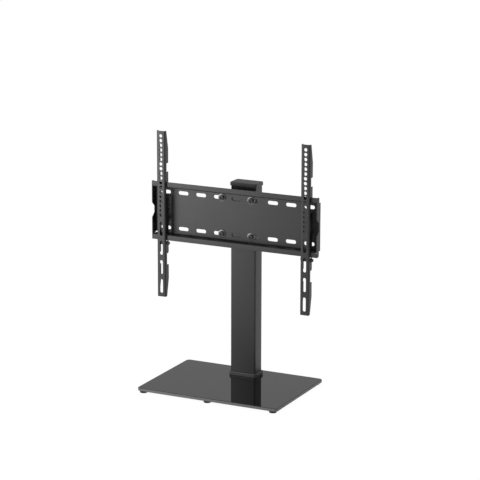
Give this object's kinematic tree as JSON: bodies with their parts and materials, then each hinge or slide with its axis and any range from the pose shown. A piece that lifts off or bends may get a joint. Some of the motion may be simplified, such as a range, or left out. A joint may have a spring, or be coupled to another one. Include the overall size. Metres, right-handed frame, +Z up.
{
  "type": "tv stand",
  "caption": "Table-top screen stand: black glass base, steel column, height carriage and a pressed hanging plate with hook-on arms that carry the screen's screw holes.",
  "frame": {"origin": "centre of the glass base, on the table plane under the rubber feet", "axes": "+Z up, -Y to the front where the screen hangs, +X to the viewer's right seen from the front"},
  "size_m": [0.46, 0.278, 0.645],
  "materials": {
    "black_glass": "polished toughened glass, black underneath",
    "black_steel": "fine-textured matt black powder coat",
    "black_screw": "black zinc plating",
    "black_plastic": "moulded, fine spark-eroded texture",
    "rubber": "matt",
    "zinc": "bright zinc plating",
    "nylon": "natural nylon"
  },
  "bodies": {
    "base": {"base_glass": "black_glass", "under_plate": "black_steel", "base_screws": "zinc", "glass_bushes": "nylon", "foot_front_left": "rubber", "foot_front_middle": "rubber", "foot_front_right": "rubber", "foot_rear_left": "rubber", "foot_rear_middle": "rubber", "foot_rear_right": "rubber", "flange_gasket": "rubber", "column_flange": "black_steel", "foot_collar": "black_plastic", "column_tube": "black_steel", "column_cap": "black_plastic"},
    "carriage": {"carriage_sleeve": "black_steel", "spacer_bracket": "black_steel", "bracket_plate": "black_steel", "clamp_plate": "zinc", "clamp_bolts": "zinc", "clamp_washers": "zinc", "hanging_plate": "black_steel", "plate_bolts": "black_screw", "plate_washers": "black_screw", "plate_nuts": "black_screw"},
    "left_hanger": {"left_arm": "black_steel", "left_safety_screw": "black_screw", "left_safety_washer": "black_screw", "left_safety_sleeve": "black_plastic", "left_safety_nut": "zinc"},
    "right_hanger": {"right_arm": "black_steel", "right_safety_screw": "black_screw", "right_safety_washer": "black_screw", "right_safety_sleeve": "black_plastic", "right_safety_nut": "zinc"}
  },
  "joints": [
    {"name": "height_slide", "type": "slide", "parent": "base", "child": "carriage", "axis": [0, 0, 1], "range_m": [-0.1, 0]},
    {"name": "left_arm_slide", "type": "slide", "parent": "carriage", "child": "left_hanger", "axis": [1, 0, 0], "range_m": [-0.015, 0.1]},
    {"name": "right_arm_slide", "type": "slide", "parent": "carriage", "child": "right_hanger", "axis": [1, 0, 0], "range_m": [-0.1, 0.015]}
  ]
}
